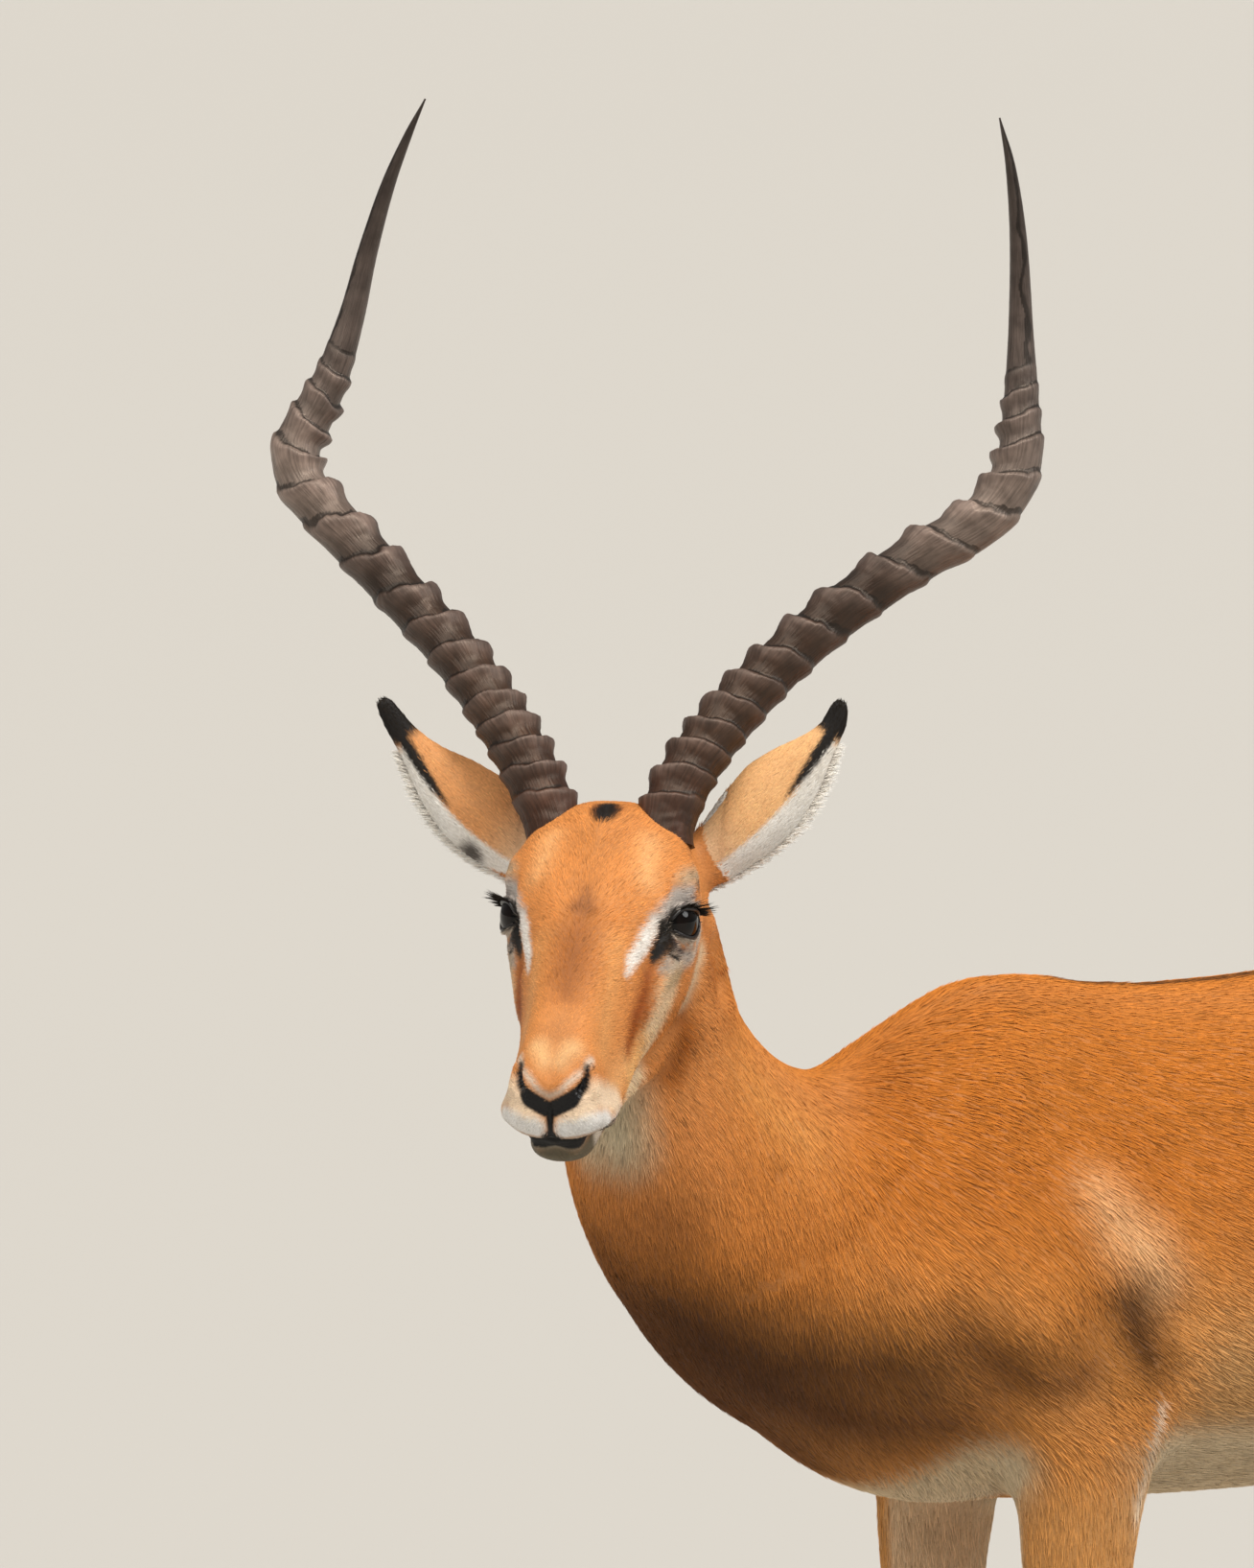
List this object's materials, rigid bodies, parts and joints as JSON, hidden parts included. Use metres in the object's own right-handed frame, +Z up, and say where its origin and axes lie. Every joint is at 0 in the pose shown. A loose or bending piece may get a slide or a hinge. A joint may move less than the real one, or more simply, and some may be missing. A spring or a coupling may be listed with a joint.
{
  "type": "impala antelope",
  "caption": "Life-size still model of an impala ram, standing with its head turned to its left, with long lyre-shaped ringed horns.",
  "frame": {"origin": "middle of the bounding box at ground level, between the four feet", "axes": "+Z up from the ground, -Y the way the animal's body faces, +X its left side; its head is turned towards its left"},
  "size_m": [0.4111, 1.1299, 1.3808],
  "materials": {
    "coat": "short glossy rufous hair over flesh",
    "horn": "satin ringed horn",
    "eye": "wet gloss",
    "hoof": "dull hoof horn"
  },
  "bodies": {
    "root": {"head": "coat", "neck": "coat", "trunk": "coat", "tail": "coat", "foreleg_left": "coat", "foreleg_right": "coat", "hindleg_left": "coat", "hindleg_right": "coat", "ear_left": "coat", "ear_right": "coat", "horn_left": "horn", "horn_right": "horn", "eye_left": "eye", "eye_right": "eye", "hoof_foreleg_left_outer": "hoof", "hoof_foreleg_left_inner": "hoof", "hoof_foreleg_right_outer": "hoof", "hoof_foreleg_right_inner": "hoof", "hoof_hindleg_left_outer": "hoof", "hoof_hindleg_left_inner": "hoof", "hoof_hindleg_right_outer": "hoof", "hoof_hindleg_right_inner": "hoof"}
  },
  "joints": []
}
